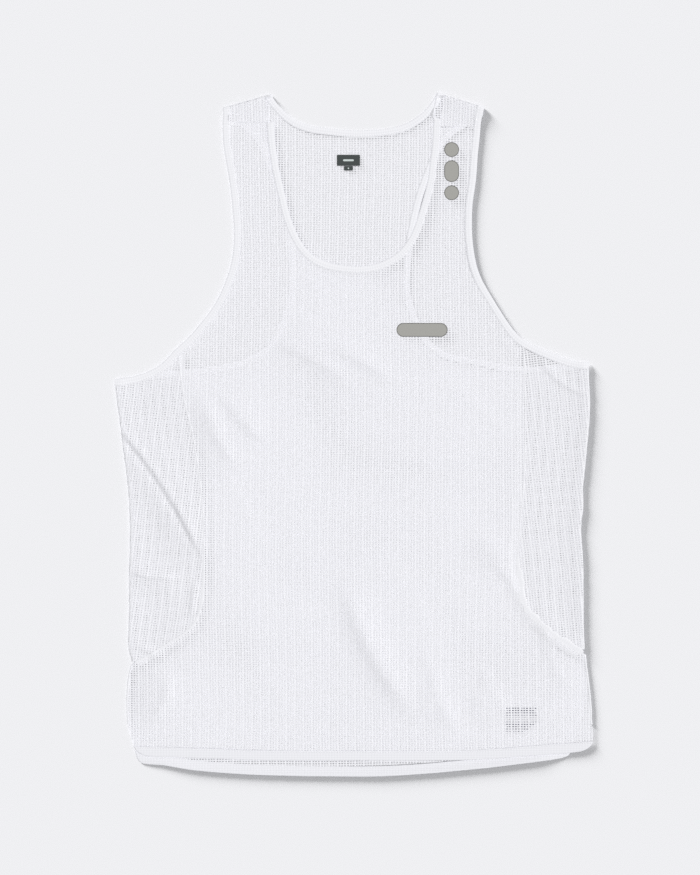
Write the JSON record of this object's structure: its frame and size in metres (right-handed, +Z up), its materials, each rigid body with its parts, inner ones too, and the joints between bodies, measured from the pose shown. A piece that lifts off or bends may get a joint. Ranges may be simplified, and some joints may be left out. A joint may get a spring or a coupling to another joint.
{
  "type": "running singlet",
  "caption": "Sleeveless mesh running singlet laid flat, with scoop neck, racer back, wrapped side panels, bound edges and a drop tail.",
  "frame": {"origin": "centre of the bounding box at floor level, under the back panel", "axes": "+Z up out of the floor, +Y from the hem to the shoulders, +X to the right seen from the front"},
  "size_m": [0.488, 0.6969, 0.0059],
  "materials": {
    "mesh_knit": "white ladder-mesh polyester knit, matt",
    "binding": "white elastic binding, smooth, flat-stitched",
    "hem": "white knit turned double and flat-stitched",
    "label": "dark grey transfer label, matt"
  },
  "bodies": {
    "root": {"front_panel": "mesh_knit", "back_panel": "mesh_knit", "side_panel_left": "mesh_knit", "side_panel_right": "mesh_knit", "neck_binding_front": "binding", "neck_binding_back": "binding", "armhole_binding_left_front": "binding", "armhole_binding_left_back": "binding", "armhole_binding_right_front": "binding", "armhole_binding_right_back": "binding", "hem_front": "hem", "hem_back": "hem", "neck_label": "label", "size_tab": "label"}
  },
  "joints": []
}
